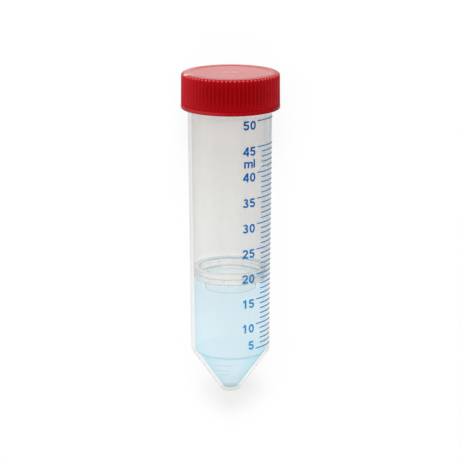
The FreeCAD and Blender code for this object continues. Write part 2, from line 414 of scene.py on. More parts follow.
# ------------------------------------------------------------------ materials
def clear_wall():
    """Clear polypropylene: each face lets most of the light through, scatters a little of it in a
    faint milky haze and mirrors the room more towards its edges. Faces that the fill wets hardly show."""
    material, n = new_net("clear_polypropylene")
    up, wet, inner = n.attr("up"), n.attr("wet"), n.attr("inner")
    under, bare, painted_sparkle = n.attr("under"), n.attr("bare"), n.attr("painted_sparkle")
    # painted light: a light line just under the cap, and one side, have no haze
    unhazed = n.math("MAXIMUM", under, bare)
    # the haze is thickest towards the neck, and is drawn out along the tube
    streaks = n.noise(1.0, 3.0, 0.6, n.place((900.0, 14.0, 900.0)))
    haze = n.times(n.span(up, 44.0, 112.0, 0.050, 0.098), n.span(up, 36.0, 46.0, 0.3, 1.0),
                   n.span(streaks, 0.3, 0.7, 0.88, 1.12), n.span(wet, 0.0, 1.0, 1.0, 0.25),
                   n.math("SUBTRACT", 1.0, unhazed))
    # painted sparkle: a light, sparkling side on the cone
    fleck = n.span(n.noise(1300.0, 2.0, 0.6), 0.48, 0.60, 0.0, 0.45)
    haze = n.plus(haze, n.times(painted_sparkle, n.times(fleck, n.span(n.grazing(), 0.2, 0.5))))
    # painted shade of the cap: the tint darkens and warms towards the neck
    tint = n.mix(n.span(up, 50.0, 112.0), (0.967, 0.971, 0.964, 1), (0.953, 0.938, 0.930, 1))
    tint = n.mix(n.span(up, 38.0, 48.0), (0.998, 0.999, 0.998, 1), tint)
    # the wall darkens towards its outline
    edge = n.times(n.math("POWER", n.grazing(), 4.0), n.span(wet, 0.0, 0.5, 1.0, 0.0),
                   n.span(up, 12.0, 20.0, 0.2, 1.0), n.span(inner, 0.0, 1.0, 1.0, 0.35))
    tint = n.mix(edge, tint, (0.86, 0.87, 0.845, 1))
    # and painted shade on its right: a broad shade and a dark band, which fade where the wall faces the
    # viewer
    shade = n.mix(n.span(up, 60.0, 80.0), (0.91, 0.915, 0.925, 1), (0.845, 0.85, 0.865, 1))
    shade = n.mix(n.times(n.span(up, 102.0, 94.0), n.span(up, 42.0, 50.0)), shade, (0.745, 0.755, 0.77, 1))
    tint = n.mix(n.times(n.attr("side"), n.span(n.grazing(), 0.015, 0.06)), tint, shade)
    band = n.mix(n.span(up, 70.0, 105.0), (0.60, 0.61, 0.61, 1), (0.50, 0.50, 0.505, 1))
    band = n.mix(n.span(up, 40.0, 50.0), (0.76, 0.79, 0.79, 1), band)
    tint = n.mix(n.times(n.attr("right"), n.span(n.grazing(), 0.22, 0.5)), tint, band)
    # painted light: the light line and the clear strips take no tint
    tint = n.mix(unhazed, tint, (1, 1, 1, 1))
    tint = n.mix(n.attr("mark"), tint, (0.80, 0.87, 0.89, 1))
    tint = n.mix(n.attr("tip"), tint, (0.87, 0.875, 0.835, 1))
    # the painted sparkle whitens the haze
    milk = n.mix(painted_sparkle, (0.80, 0.79, 0.765, 1), (0.98, 0.97, 0.94, 1))
    body = n.blend(haze, n.clear(tint), n.matt(milk))
    grain = n.noise(420.0, 3.0, 0.6)
    gloss = n.gloss((0.86, 0.865, 0.86, 1), n.span(grain, 0.3, 0.7, 0.10, 0.16),
                    Normal=n.bump(grain, 0.03, 0.0002))
    mirror = n.times(n.math("MULTIPLY_ADD", n.math("POWER", n.grazing(), 5.0), 0.75, 0.030),
                     n.span(wet, 0.0, 1.0, 1.0, 0.1), n.span(bare, 0.0, 1.0, 1.0, 0.0))
    # the crowded walls of the tip dim the light more than the body does
    dim = n.mix(n.span(up, 6.0, 18.0), (0.66, 0.66, 0.66, 1), (0.96, 0.96, 0.96, 1))
    n.out(n.for_lamps(n.blend(mirror, body, gloss), dim))
    return material


def pale_fill():
    """Pale blue liquid seen through the wall. Each crossing tints what is behind it."""
    material, n = new_net("pale_blue_fill")
    cone, skin = n.attr("cone"), n.attr("skin")
    cloud = n.noise(60.0, 2.0, 0.5)
    edge = n.times(n.math("POWER", n.grazing(), 3.0), n.span(cone, 0.0, 1.0, 0.12, 0.42))
    # the blue is stronger towards the outlines, and flush adds painted shade at the fill's sides
    strong = n.plus(n.plus(edge, n.span(cloud, 0.3, 0.7, 0.0, 0.03)), n.attr("flush"))
    tint = n.mix(n.attr("high"), (0.885, 0.964, 0.995, 1), (0.858, 0.932, 0.966, 1))
    tint = n.mix(strong, tint, (0.46, 0.80, 0.915, 1))
    # deep is a painted dark line where the cone begins and at the bottom's front
    tint = n.mix(n.attr("deep"), tint, (0.46, 0.745, 0.85, 1))
    # painted light: at one side of the tip, and behind the insert, the fill is drawn pale where light passes
    # beside it
    tint = n.mix(n.attr("pale"), tint, (0.99, 0.99, 0.97, 1))
    tint = n.mix(skin, tint, (0.97, 1.0, 1.0, 1))
    # in the insert's opening the surface is painted bright, a painted reflection of the room's light
    milk = n.matt(n.mix(skin, (0.74, 0.90, 0.98, 1), (0.97, 0.985, 0.985, 1)))
    room = n.gloss((0.97, 1.0, 1.0, 1), n.span(cloud, 0.3, 0.7, 0.12, 0.18))
    body = n.blend(n.times(skin, 0.2), milk, room)
    surface = n.blend(n.math("MULTIPLY_ADD", skin, 0.14, 0.02), n.clear(tint), body)
    n.out(n.for_lamps(surface, (0.97, 0.98, 0.99, 1)))
    return material


def clear_insert():
    """The insert's clear plastic, with a moulded frost that is whiter in places as painted light. Rounded
    edges carry painted dark lines and painted highlights, and what dips in the fill nearly vanishes. Lamps
    reach through it, as they do on the real part."""
    material, n = new_net("clear_insert_plastic")
    line, calm = n.attr("line"), n.attr("calm")
    cloud = n.noise(160.0, 3.0, 0.6)
    edge_on = n.math("POWER", n.grazing(), 4.0)
    tint = n.mix(edge_on, (0.995, 0.997, 0.995, 1), (0.72, 0.76, 0.78, 1))
    # painted shade: dark lines at the rounded edges darken the tint and the milk
    tint = n.mix(line, tint, (0.52, 0.66, 0.76, 1))
    tint = n.mix(n.times(calm, n.math("MULTIPLY_ADD", line, -0.8, 0.8)), tint, (1.0, 1.0, 1.0, 1))
    white = n.mix(cloud, (0.955, 0.925, 0.885, 1), (0.98, 0.95, 0.915, 1))
    milk = n.matt(n.mix(line, white, (0.56, 0.62, 0.66, 1)))
    # glow adds painted white highlights to the frost
    milky = n.plus(n.times(n.attr("frost"), n.span(cloud, 0.3, 0.7, 0.85, 1.1)), n.attr("glow"))
    body = n.blend(milky, n.clear(tint), milk)
    gloss = n.gloss((0.95, 0.95, 0.95, 1), n.span(n.noise(700.0, 2.0, 0.5), 0.3, 0.7, 0.10, 0.18))
    mirror = n.times(n.math("MULTIPLY_ADD", edge_on, 0.7, 0.03), n.span(calm, 0.0, 1.0, 1.0, 0.1))
    n.out(n.for_lamps(n.blend(mirror, body, gloss), (0.96, 0.96, 0.955, 1)))
    return material


def red_cap():
    """Red polyethylene: satin, with a fine moulding grain, a painted sheen on the rib backs and painted light
    and highlights in places.
    """
    material, n = new_net("red_polyethylene")
    crown, head = n.attr("crown"), n.attr("head")
    patch = n.noise(70.0, 3.0, 0.5)
    base = n.mix(n.span(patch, 0.3, 0.7), srgb(138, 0, 2), srgb(145, 1, 4))
    # painted sheen: the rib backs are lighter
    base = n.mix(n.times(n.attr("proud"), 0.25), base, srgb(160, 30, 34))
    # painted light: the red is lighter near the rim band and near the top
    base = n.mix(n.attr("low"), base, srgb(158, 8, 14))
    # painted light: lighter red towards the outline, more on the left
    flank = n.times(n.attr("flank"), n.math("SUBTRACT", 1.0, crown))
    base = n.mix(n.times(flank, 0.8), base, srgb(205, 36, 48))
    # the rim band, with painted light on its left
    rim = n.mix(n.attr("lean"), srgb(156, 10, 18), srgb(184, 46, 54))
    base = n.mix(n.attr("band"), base, rim)
    # painted light on the top, which is also glossier
    base = n.mix(crown, base, srgb(208, 14, 16))
    # painted highlights on the ribs' heads
    base = n.mix(n.times(head, 0.8), base, srgb(225, 66, 68))
    # painted highlights on the left edge and the gate mark's rim
    base = n.mix(n.attr("glint"), base, (1.0, 0.93, 0.95, 1))
    bump = n.bump(n.noise(900.0, 3.0, 0.6), 0.12, 0.0001)
    rough = n.times(n.span(patch, 0.3, 0.7, 0.26, 0.34), n.span(crown, 0.0, 1.0, 1.0, 0.6))
    body = n.add("ShaderNodeBsdfPrincipled", {"Base Color": base, "IOR": 1.5, "Specular IOR Level": 0.03,
                                             "Roughness": rough, "Normal": bump}).outputs[0]
    gloss = n.gloss(n.mix(crown, (1, 0.97, 0.97, 1), (1, 0.97, 0.93, 1)), rough, Normal=bump)
    shine = n.times(n.math("POWER", n.grazing(), 3.8), n.span(crown, 0.0, 1.0, 0.10, 0.45),
                    n.span(n.attr("ruddy"), 0.0, 1.0, 1.0, 0.86))
    # the ribs' heads shine more, a painted highlight
    shine = n.math("MULTIPLY_ADD", head, 0.20, shine, clamp=True)
    n.out(n.blend(shine, body, gloss))
    return material


def blue_ink():
    """Screen-printed ink, a little thinner and lighter down the tube."""
    material, n = new_net("blue_print")
    up, thin = n.attr("up"), n.attr("thin")
    speck = n.noise(1600.0, 3.0, 0.6)
    colour = n.mix(n.span(up, 15.0, 60.0), srgb(48, 156, 210), srgb(0, 104, 178))
    colour = n.mix(n.span(up, 60.0, 104.0), colour, srgb(0, 80, 142))
    colour = n.mix(n.span(speck, 0.35, 0.75, 0.0, 0.10), colour, srgb(50, 145, 205))
    colour = n.mix(n.math("MULTIPLY", thin, 0.8, clamp=True), colour, srgb(44, 140, 205))
    colour = n.mix(n.span(thin, 1.0, 1.5), colour, srgb(80, 152, 205))
    n.out(n.add("ShaderNodeBsdfPrincipled", {"Base Color": colour, "Roughness": 0.5, "IOR": 1.45,
                                            "Specular IOR Level": 0.08}).outputs[0])
    return material


TIP_SHADE_Y = -0.0648        # where the shade under the tip is deepest, row frame, m
TIP_SHADE_SQUASH = 2.6       # the patch is this much longer across the tube than along it


def pale_floor():
    """White floor. What looks at it sees a clean white, and the object's soft shadow stays."""
    material, n = new_net("studio_floor")
    path = n.add("ShaderNodeLightPath").outputs
    seen = n.plus(n.plus(path["Is Camera Ray"], path["Is Glossy Ray"]), path["Is Transmission Ray"])
    # the shadow is deepest in a broad patch under the tip
    away = n.add("ShaderNodeVectorMath", {0: n.place((1.0, TIP_SHADE_SQUASH, 1.0)),
                                         1: (0.0, TIP_SHADE_Y * TIP_SHADE_SQUASH, 0.0)},
                 operation="DISTANCE").outputs["Value"]
    share = n.math("MULTIPLY_ADD", n.span(away, 0.008, 0.030, 1.0, 0.0, smooth=True), 0.36, 0.12)
    share = n.times(share, n.span(n.noise(40.0, 2.0, 0.5), 0.0, 1.0, 0.98, 1.02))
    light = n.times(seen, n.math("MULTIPLY_ADD", share, -1.075, 0.998))
    lift = n.add("ShaderNodeEmission", {"Strength": light}).outputs[0]
    n.out(n.add("ShaderNodeAddShader", {0: n.matt(share), 1: lift}).outputs[0])
    return material


WALL_MAT = clear_wall()
FILL_MAT = pale_fill()
INSERT_MAT = clear_insert()
CAP_MAT = red_cap()
INK_MAT = blue_ink()
FLOOR_MAT = pale_floor()


# ------------------------------------------------------------------ tube
def tube_rows():
    """Outline from the tip up the outside, over the mouth and down the inside."""
    tip_r = cone_r(0.0)
    mouth, inner_mouth = on_body(TUBE_LENGTH), on_bore(TUBE_LENGTH)
    shoulder = on_bore(INNER_SHOULDER_Z)
    rows = [(0.0, 0.0), (tip_r * 0.45, 0.0)]
    rows += corner((0, 0), (tip_r, 0), (SHOULDER_R, SHOULDER_Z), TIP_EDGE_R, 7)
    bend = corner((tip_r, 0), (SHOULDER_R, SHOULDER_Z), mouth, SHOULDER_BEND_R, 6)
    # close rows where the raised marks are
    heights = [z for _, z in run(rows[-1], bend[0], 60)]
    heights += [h + 0.1 * k for h, _, _ in MARKS for k in range(-3, 4)]
    rows += [(cone_r(z), z) for z in sorted(heights)]
    rows += bend
    # and where the painted light line lies under the cap
    rows += run(bend[-1], on_body(PAINTED_LIGHT_LINE_Z - 1.0), 24)
    rows += [on_body(PAINTED_LIGHT_LINE_Z + 0.2 * k) for k in range(-5, 6)]
    rows += [on_body(NECK_FOOT_Z)]
    rim = on_body(TUBE_LENGTH - 0.4)
    rows += run(rows[-1], rim, 42)
    rows += corner(rim, mouth, (mouth[0] - 1, TUBE_LENGTH), MOUTH_EDGE_R)
    rows += corner((inner_mouth[0] + 1, TUBE_LENGTH), inner_mouth, shoulder, MOUTH_EDGE_R)
    bend = corner(inner_mouth, shoulder, (FLOOR_R, FLOOR_Z), 1.0, 5)
    rows += run(rows[-1], on_bore(RING_FOOT_Z + 0.3), 16)
    rows += [on_bore(RING_FOOT_Z + 0.3), on_bore(RING_FOOT_Z - 0.3)]
    rows += run(rows[-1], bend[0], 8)
    rows += bend
    floor_edge = corner(shoulder, (FLOOR_R, FLOOR_Z), (0, FLOOR_Z), 0.75)
    rows += run(bend[-1], floor_edge[0], 14)
    rows += floor_edge
    rows += [(0.0, FLOOR_Z)]
    return rows


def tube_relief(angles, r, z):
    """The neck's thread and the cone's raised marks, on the outside only."""
    if r < wall_middle(z):
        return np.zeros_like(angles)
    d = THREAD_HEIGHT * thread(angles, z, 0.0, *TUBE_THREAD)
    for height, start, end in MARKS:
        d += MARK_HEIGHT * bell(z, height, 0.16) * wrapped(angles, start, end)
    return d


def tube_looks(verts):
    """Where the wall is wet, clear, or has painted shade, painted light or painted sparkle."""
    z, radius, bearing = columns(verts)[2:]
    inside = (radius < wall_middle(z)) & (z > FLOOR_Z - 0.05)
    outer = 1.0 - inside
    body = fade(z, 14.0, 17.0)
    # painted shade in a dark band near the right outline, and painted light in the clear strip beyond it
    right = fade(bearing, 63.0, 66.0) * fade(bearing, 76.5, 74.0) * (0.5 + 0.5 * body) * outer
    bare = fade(bearing, 73.5, 76.5) * fade(bearing, 125.0, 105.0) * fade(z, 14.0, 30.0) * outer
    # the wall behind the insert's ring has no haze either, painted light that brightens the ring
    ring = fade(z, RING_FOOT_Z + 0.2, RING_FOOT_Z + 0.5) * fade(z, INSERT_TOP_Z - 0.5, INSERT_TOP_Z - 0.8)
    bare += 0.9 * ring * fade(np.abs(bearing), 100.0, 120.0)
    marks = [bell(z, height, 0.2) * wrapped(bearing, start, end) for height, start, end in MARKS]
    return {
        "up": z,
        "wet": inside & (z < RING_FOOT_Z),
        "inner": inside,
        # painted shade on the right side
        "side": fade(bearing, -40.0, 62.0) ** 2 * fade(bearing, 79.5, 76.5) * body * outer,
        # a painted light line just under the cap
        "under": bell(z, PAINTED_LIGHT_LINE_Z, 0.28) * outer,
        # a painted sparkle on the cone's left side
        "painted_sparkle": wrapped(bearing, -100.0, -60.0) * fade(z, 15.6, 14.6) * fade(z, 1.0, 2.0) * outer,
        "mark": sum(marks) * outer,
        "right": right,
        "tip": fade(z, 0.9, 0.5) * outer,
        "bare": np.clip(bare, 0, 1),
    }


verts, faces = ring_grid(tube_rows(), segments=216, relief=tube_relief)
tube = make_object("tube_body_wall", verts, faces, WALL_MAT, "tube_body", attrs=tube_looks(verts))
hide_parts("tube")


# ------------------------------------------------------------------ fill
def fill_rows():
    """Outline from the middle of the bottom up the side to the middle of the surface."""
    floor_r, floor_z = FLOOR_R - FILL_GAP, FLOOR_Z + 0.02
    shoulder = on_bore(INNER_SHOULDER_Z, FILL_GAP)
    rim = on_bore(RING_FOOT_Z - 0.12, FILL_GAP)
    above_bend = on_bore(INNER_SHOULDER_Z + 1.2, FILL_GAP)
    rows = [(0.0, floor_z), (floor_r * 0.5, floor_z)]
    rows += corner((0, floor_z), (floor_r, floor_z), shoulder, 0.5)
    bend = corner((FLOOR_R, FLOOR_Z), shoulder, rim, 0.8, 8)
    rows += run(rows[-1], bend[0], 64)
    rows += bend
    rows += run(rows[-1], above_bend, 6)
    rows += [above_bend]
    rows += run(rows[-1], rim, 10)
    rows += [rim, (rim[0] - 0.5, rim[1] - 0.02)]
    rows += [(r, rim[1] - 0.03) for r in (9.0, 8.4, 8.2, 4.0, 0.0)]
    return rows


def fill_looks(verts):
    """Where the liquid's blue is strong, partly as painted shade, and where it is painted pale as if light
    passed beside it.
    """
    x, y, z, radius, bearing = columns(verts)
    cone = fade(z, INNER_SHOULDER_Z + 0.2, INNER_SHOULDER_Z - 0.6)
    # painted shade: a dark line where the cone begins, and the dark front of the bottom
    deep = 0.05 + 0.70 * fade(np.abs(bearing), 100.0, 80.0)
    deep *= bell(z, INNER_SHOULDER_Z - 0.25, 0.42)
    deep += 0.42 * fade(z, FLOOR_Z + 0.5, FLOOR_Z + 0.2) * fade(y, 0.3, -0.7)
    # -1 to 1 from the left outline to the right one
    across = x / np.maximum(np.where(z > INNER_SHOULDER_Z, bore_r(z), cone_r(z) - 1.5), 1.0)
    # painted shade: stronger blue at the cone's sides, more on the right, in its upper part and at the body's
    # left
    flush = cone * (0.13 * fade(across, 0.45, 0.75) + 0.10 * fade(across, -0.35, -0.65))
    flush += 0.04 * (1 - cone) * fade(across, -0.5, -0.8)
    flush += 0.06 * cone * fade(z, 9.0, 13.0)
    # a painted pale strip behind the cone's painted sparkle, which widens upwards
    pale = 0.9 * cone * wrapped(bearing, -90.0, -61.0 + 8.4 * fade(z, 9.4, 13.4)) * fade(z, 2.0, 3.5)
    # and a painted pale patch behind the insert
    behind = fade(z, 35.0, 36.5) * fade(np.abs(bearing), 125.0, 137.0) * (z < RING_FOOT_Z - 0.4)
    surface = z > RING_FOOT_Z - 0.6
    return {
        "deep": deep,
        "cone": cone,
        "pale": np.maximum(pale, behind),
        "skin": surface & (radius < OPENING_R + 0.5),
        "high": fade(z, 24.0, 36.0) * np.clip(1.0 - 0.4 * across, 0, 1.4) * ~surface,
        "flush": flush,
    }


verts, faces = ring_grid(fill_rows(), segments=160)
fill = make_object("fill_volume", verts, faces, FILL_MAT, "tube_body", attrs=fill_looks(verts))
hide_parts("fill")


# ------------------------------------------------------------------ insert
def edged(p, q):
    """Points along a side, close together near both its ends, so that drawn lines stay crisp."""
    length = math.hypot(q[0] - p[0], q[1] - p[1])
    at = [d for d in (0.12, 0.24, 0.36, 0.5, 0.7) if d < length * 0.45]
    at += [length - d for d in reversed(at)]
    return [(p[0] + (q[0] - p[0]) * d / length, p[1] + (q[1] - p[1]) * d / length) for d in at]


def insert_rows():
    """Closed outline: up the ring's outside, over its top, down to the lip and round the collar."""
    corners = [   # radius, height, rounding
        (COLLAR_R, RING_FOOT_Z, 0.10),
        (RING_R, RING_FOOT_Z, 0.22),
        (RING_R, GROOVE_Z - GROOVE_HALF, 0.08),
        (RING_R - GROOVE_DEPTH, GROOVE_Z, 0.10),
        (RING_R, GROOVE_Z + GROOVE_HALF, 0.08),
        (RING_R, INSERT_TOP_Z, 0.16),
        (RING_INNER_R, INSERT_TOP_Z, 0.16),
        (RING_INNER_R, SHELF_Z, 0.25),
        (*LIP, 0.16),
        (*BRIM, 0.30),
        (OPENING_R, COLLAR_Z, 0.2),
        (COLLAR_R, COLLAR_Z, 0.2),
    ]
    rows = []
    for i, (r, z, rounding) in enumerate(corners):
        after = corners[(i + 1) % len(corners)]
        bend = corner(corners[i - 1][:2], (r, z), after[:2], rounding, 3)
        if rows:
            rows += edged(rows[-1], bend[0])
        rows += bend
    rows += edged(rows[-1], rows[0])
    rows.append(rows[0])
    return rows


def insert_relief(angles, r, z):
    """The notches round the ring's foot."""
    d = np.zeros_like(angles)
    if r > RING_R - 0.32 and RING_FOOT_Z - 0.1 < z < GROOVE_Z - 0.1:
        for k in range(NOTCH_COUNT):
            a = NOTCH_START + 360.0 / NOTCH_COUNT * k
            d -= NOTCH_DEPTH * wrapped(angles, a - NOTCH_HALF, a + NOTCH_HALF)
    return d


def insert_looks(verts):
    """Where the insert has frost, its painted dark edge lines, its painted white highlights and its calm,
    clear parts.
    """
    z, radius, bearing = columns(verts)[2:]

    def near(r, height, width):
        """1 on the turned edge at a radius and height, fading over a width."""
        return np.exp(-((radius - r) ** 2 + (z - height) ** 2) / width ** 2)

    in_fill = fade(z, RING_FOOT_Z - 0.1, RING_FOOT_Z - 0.4)
    at_back = fade(np.abs(bearing), 112.0, 142.0)
    at_front = 1 - at_back
    inner_wall = (np.abs(radius - RING_INNER_R) < 0.2) & (z > SHELF_Z - 0.1)
    line = (0.6 + 0.4 * at_back) * near(RING_R, INSERT_TOP_Z, 0.24)
    line += 0.9 * at_back * inner_wall * fade(z, INSERT_TOP_Z - 0.72, INSERT_TOP_Z - 0.52)
    line += at_front * near(RING_INNER_R, INSERT_TOP_Z, 0.3)
    line += near(RING_INNER_R, SHELF_Z, 0.4)
    line += (0.15 + 0.65 * at_back) * near(*LIP, 0.2)
    line += (0.10 + 0.12 * at_back) * near(*BRIM, 0.25)
    line += 0.35 * near(RING_R - GROOVE_DEPTH, GROOVE_Z, 0.25)
    line += 0.9 * near(RING_R, RING_FOOT_Z, 0.25)
    line += near(COLLAR_R, COLLAR_Z, 0.25)
    # upright lines on the back of the inner wall
    for at in (136.0, 157.0, 175.0, -157.0, -138.0):
        line += 0.5 * inner_wall * bell(off(bearing, at), 0.0, 0.9)
    # painted white highlights on the back of the inner wall, the slope down from the lip and the ring's top
    glow = 0.45 * inner_wall * at_back * fade(z, INSERT_TOP_Z - 0.7, INSERT_TOP_Z - 0.9)
    glow += 0.4 * at_back * ((radius > BRIM[0] + 0.15) & (radius < LIP[0] + 0.1) & (z > BRIM[1]))
    top = (z > INSERT_TOP_Z - 0.12) & (radius > RING_INNER_R - 0.05)
    glow += 0.75 * at_front * (top & (radius > RING_INNER_R + 0.5))
    glow += 0.5 * top * wrapped(bearing, -68.0, -46.0)
    glow *= 1 - 0.9 * wrapped(bearing, -158.0, -95.0) - 0.7 * wrapped(bearing, 95.0, 155.0)
    # the outer face is frostier at the front, partly as painted light
    frost = np.where(radius > RING_R - 0.45, 0.12 + 0.30 * at_front, 0.06)
    return {
        "frost": frost * (1 - in_fill) + 0.07 * in_fill,
        "line": np.clip(line, 0, 1),
        # the lip and the opening's wall are polished clear too
        "calm": np.maximum(in_fill, 0.75 * (radius < RING_INNER_R - 0.4)),
        "glow": np.clip(glow, 0, 1),
    }


verts, faces = ring_grid(insert_rows(), segments=240, relief=insert_relief)
insert = make_object("separation_insert_ring", verts, faces, INSERT_MAT, "tube_body",
                     smooth=40, attrs=insert_looks(verts))
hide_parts("separation_insert")


# ------------------------------------------------------------------ cap
def cap_outer_rows():
    """Outline from the foot out round the rim band, up the skirt and over the top to its middle."""
    foot, rim = (RIM_R, CAP_FOOT_Z), (RIM_R, RIM_TOP_Z)
    rows = [(CAP_BORE_R + 0.4, CAP_FOOT_Z), (RIM_R - 0.3, CAP_FOOT_Z)]
    rows += corner((0, CAP_FOOT_Z), foot, rim, 0.28, 3)[1:]
    rows += corner(foot, (RIM_R, RIM_TOP_Z - 0.05), (cap_r(RIM_TOP_Z) - 0.2, RIM_TOP_Z), 0.16, 3)
    rows += [(cap_r(RIM_TOP_Z) + 0.10, RIM_TOP_Z - 0.01), (cap_r(RIM_TOP_Z), RIM_TOP_Z + 0.04)]
    rows += [on_skirt(RIM_TOP_Z + 0.3)]
    rows += run(rows[-1], on_skirt(HEAD_Z), 6)
    rows += [on_skirt(HEAD_Z)]
    rows += run(rows[-1], on_skirt(CAP_SHOULDER_Z), 8)
    edge_r = cap_r(CAP_SHOULDER_Z) - CAP_EDGE_R
    rows += bow(edge_r, CAP_SHOULDER_Z, CAP_EDGE_R, CAP_EDGE_H, 10, 90, 8)
    rows += [(edge_r - 0.4, CAP_TOP_Z)]
    # the shallow dish, and the gate mark in its middle
    dish_z = CAP_TOP_Z - CAP_TOP_RECESS
    brink, dish = (CAP_TOP_RECESS_R + 0.5, CAP_TOP_Z), (CAP_TOP_RECESS_R, dish_z)
    rows += corner((edge_r, CAP_TOP_Z), brink, dish, 0.3, 3)
    rows += corner(brink, dish, (10, dish_z), 0.3, 3)
    rows += [(r, dish_z) for r in (12.0, 9.0, 6.0, 3.0, CAP_GATE_R + 0.08)]
    rows += [(CAP_GATE_R, dish_z + 0.03), (CAP_GATE_R - 0.12, dish_z + 0.04)]
    rows += [(0.35, dish_z + 0.03), (0.0, dish_z + 0.02)]
    return rows


def cap_relief(angles, r, z):
    """Round-backed ribs with rounded heads, above the rim band."""
    if z <= RIM_TOP_Z or z >= HEAD_Z + RIB_HEAD or r < CAP_BORE_R:
        return np.zeros_like(angles)
    pitch = 360.0 / RIB_COUNT
    across = (angles / pitch - np.round(angles / pitch)) / 0.30
    back = np.sqrt(np.clip(1 - across ** 2, 0, 1))
    head = math.sqrt(1 - max(0.0, (z - HEAD_Z) / RIB_HEAD) ** 2)
    foot = min(1.0, (z - RIM_TOP_Z) / 0.12 + 0.3)
    return RIB_HEIGHT * back * head * foot


def cap_inner_rows():
    """Outline from the foot up the bore and round the sealing ring to the middle of the roof."""
    plug_foot = TUBE_LENGTH - PLUG_DEPTH
    plug_r = bore_r(plug_foot) - PLUG_CLEARANCE
    plug_inner_r = plug_r - PLUG_WALL
    rows = [(CAP_BORE_R + 0.4, CAP_FOOT_Z), (CAP_BORE_R, CAP_FOOT_Z + 0.4)]
    rows += run(rows[-1], (CAP_BORE_R, TUBE_LENGTH - 0.05), 44)
    rows += [(CAP_BORE_R, TUBE_LENGTH), (plug_r + 0.02, TUBE_LENGTH)]
    rows += [(plug_r, TUBE_LENGTH - 0.1), (plug_r, plug_foot + 0.5)]
    rows += corner((plug_r, TUBE_LENGTH), (plug_r - 0.15, plug_foot + 0.2), (plug_r - 0.5, plug_foot), 0.3, 2)
    rows += [(plug_r - 0.45, plug_foot), (plug_inner_r + 0.1, plug_foot), (plug_inner_r, plug_foot + 0.12)]
    rows += [(plug_inner_r, TUBE_LENGTH - 0.2), (plug_inner_r - 0.2, TUBE_LENGTH)]
    rows += [(8.0, TUBE_LENGTH), (0.0, TUBE_LENGTH)]
    return rows


def cap_inner_relief(angles, r, z):
    """The thread in the bore."""
    if abs(r - CAP_BORE_R) > 1e-6:
        return np.zeros_like(angles)
    return -CAP_THREAD_HEIGHT * thread(angles, z, 0.5, *CAP_THREAD)


def cap_looks(verts, outer_count):
    """Where the cap has painted sheen and highlights, is shiny, has painted light or is deep red. The inside
    has only the painted light towards the outline.
    """
    z, radius, bearing = columns(verts)[2:]
    rightward, forward = np.sin(np.radians(bearing)), np.cos(np.radians(bearing))
    # radius of the rounded edge without the ribs
    rise = np.clip((z - CAP_SHOULDER_Z) / CAP_EDGE_H, 0, 1)
    edge_r = cap_r(CAP_SHOULDER_Z) - CAP_EDGE_R + CAP_EDGE_R * np.sqrt(1 - rise ** 2)
    skirt_r = np.minimum(cap_r(z), edge_r)
    # painted light on the top, which is glossier too, out to a line further in at the front and further out
    # at the back and left
    crown_r = 15.0 + 1.2 * fade(-rightward, 0.75, 0.95)
    crown_r += 0.8 * fade(np.abs(bearing), 100.0, 140.0) * fade(crown_r, 16.0, 15.8)
    crown_r -= 1.7 * fade(forward, 0.2, 0.6)
    near_top = z > CAP_TOP_Z - 0.45
    crown = fade(radius, crown_r, crown_r - 0.25) * near_top
    # a small painted highlight on the left edge, and a painted highlight on the gate mark's rim
    glint = wrapped(bearing, -78.0, -67.0) * bell(z, CAP_TOP_Z - 0.10, 0.12) * (radius > edge_r - 0.5)
    glint += 0.22 * bell(radius, CAP_GATE_R, 0.2) * (z > TUBE_LENGTH + 0.8)
    looks = {
        # the rib backs, which get a painted sheen
        "proud": fade(radius, cap_r(z), cap_r(z) + RIB_HEIGHT),
        # painted light on the top
        "crown": np.maximum(crown, 0.3 * (z > CAP_TOP_Z - 0.40)),
        # painted highlights on the ribs' heads
        "head": fade(radius, skirt_r, skirt_r + RIB_HEIGHT * 0.8) * bell(z, HEAD_Z + 0.52, 0.20),
        "glint": np.clip(glint, 0, 1),
        "band": fade(z, RIM_TOP_Z + 0.1, RIM_TOP_Z - 0.1),
        "ruddy": fade(radius, 9.0, 13.2) * (radius < 13.9) * near_top * (np.abs(bearing) < 70),
        # painted light near the rim band and near the top
        "low": fade(z, RIM_TOP_Z + 3.6, RIM_TOP_Z + 0.4) + fade(z, CAP_TOP_Z - 2.8, CAP_TOP_Z - 1.0),
    }
    for values in looks.values():
        values[outer_count:] = 0
    # painted light: towards the cap's outline the red is lighter, on the left more than on the right
    looks["flank"] = np.where(rightward < 0, np.abs(rightward) ** 3, 0.7 * rightward ** 4)
    # painted light on the rim band's left
    looks["lean"] = np.clip(-rightward * 1.3, 0, 1)
    return looks


def join(parts):
    """One mesh from several."""
    verts, faces = [], []
    for v, f in parts:
        k = len(verts)
        verts += v
        faces += [tuple(k + i for i in face) for face in f]
    return verts, faces


outer = ring_grid(cap_outer_rows(), segments=RIB_COUNT * 10, relief=cap_relief)
inner_verts, inner_faces = ring_grid(cap_inner_rows(), segments=240, relief=cap_inner_relief)
verts, faces = join([outer, (inner_verts, [f[::-1] for f in inner_faces])])
cap = make_object("screw_cap_shell", verts, faces, CAP_MAT, "cap_body", smooth=50,
                  attrs=cap_looks(verts, len(outer[0])))
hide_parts("screw_cap")

# ------------------------------------------------------------------ print
PRINT_LIFT = 0.012
PRINT_THICK = 0.03
FIRST_LINE_Z = 18.69         # the 5 ml line
FIVE_ML = 9.065              # length of tube that holds 5 ml
LAST_VALUE = 50
SINGLE_LINES_END = 45        # above this value only every fifth line is printed
LINE_H = 0.42
LONG_START, SHORT_START, LINE_END = 38.6, 46.7, 77.0
LINE_STEPS = 28


def line_z(value):
    """Height of the graduation line of a value in ml."""
    return FIRST_LINE_Z + FIVE_ML * (value - 5) / 5


def on_wall(angle, z, out=0.0):
    """A point on the body's outside at a bearing."""
    r = body_r(z) + PRINT_LIFT + out
    a = math.radians(angle)
    return (r * math.sin(a), -r * math.cos(a), z)


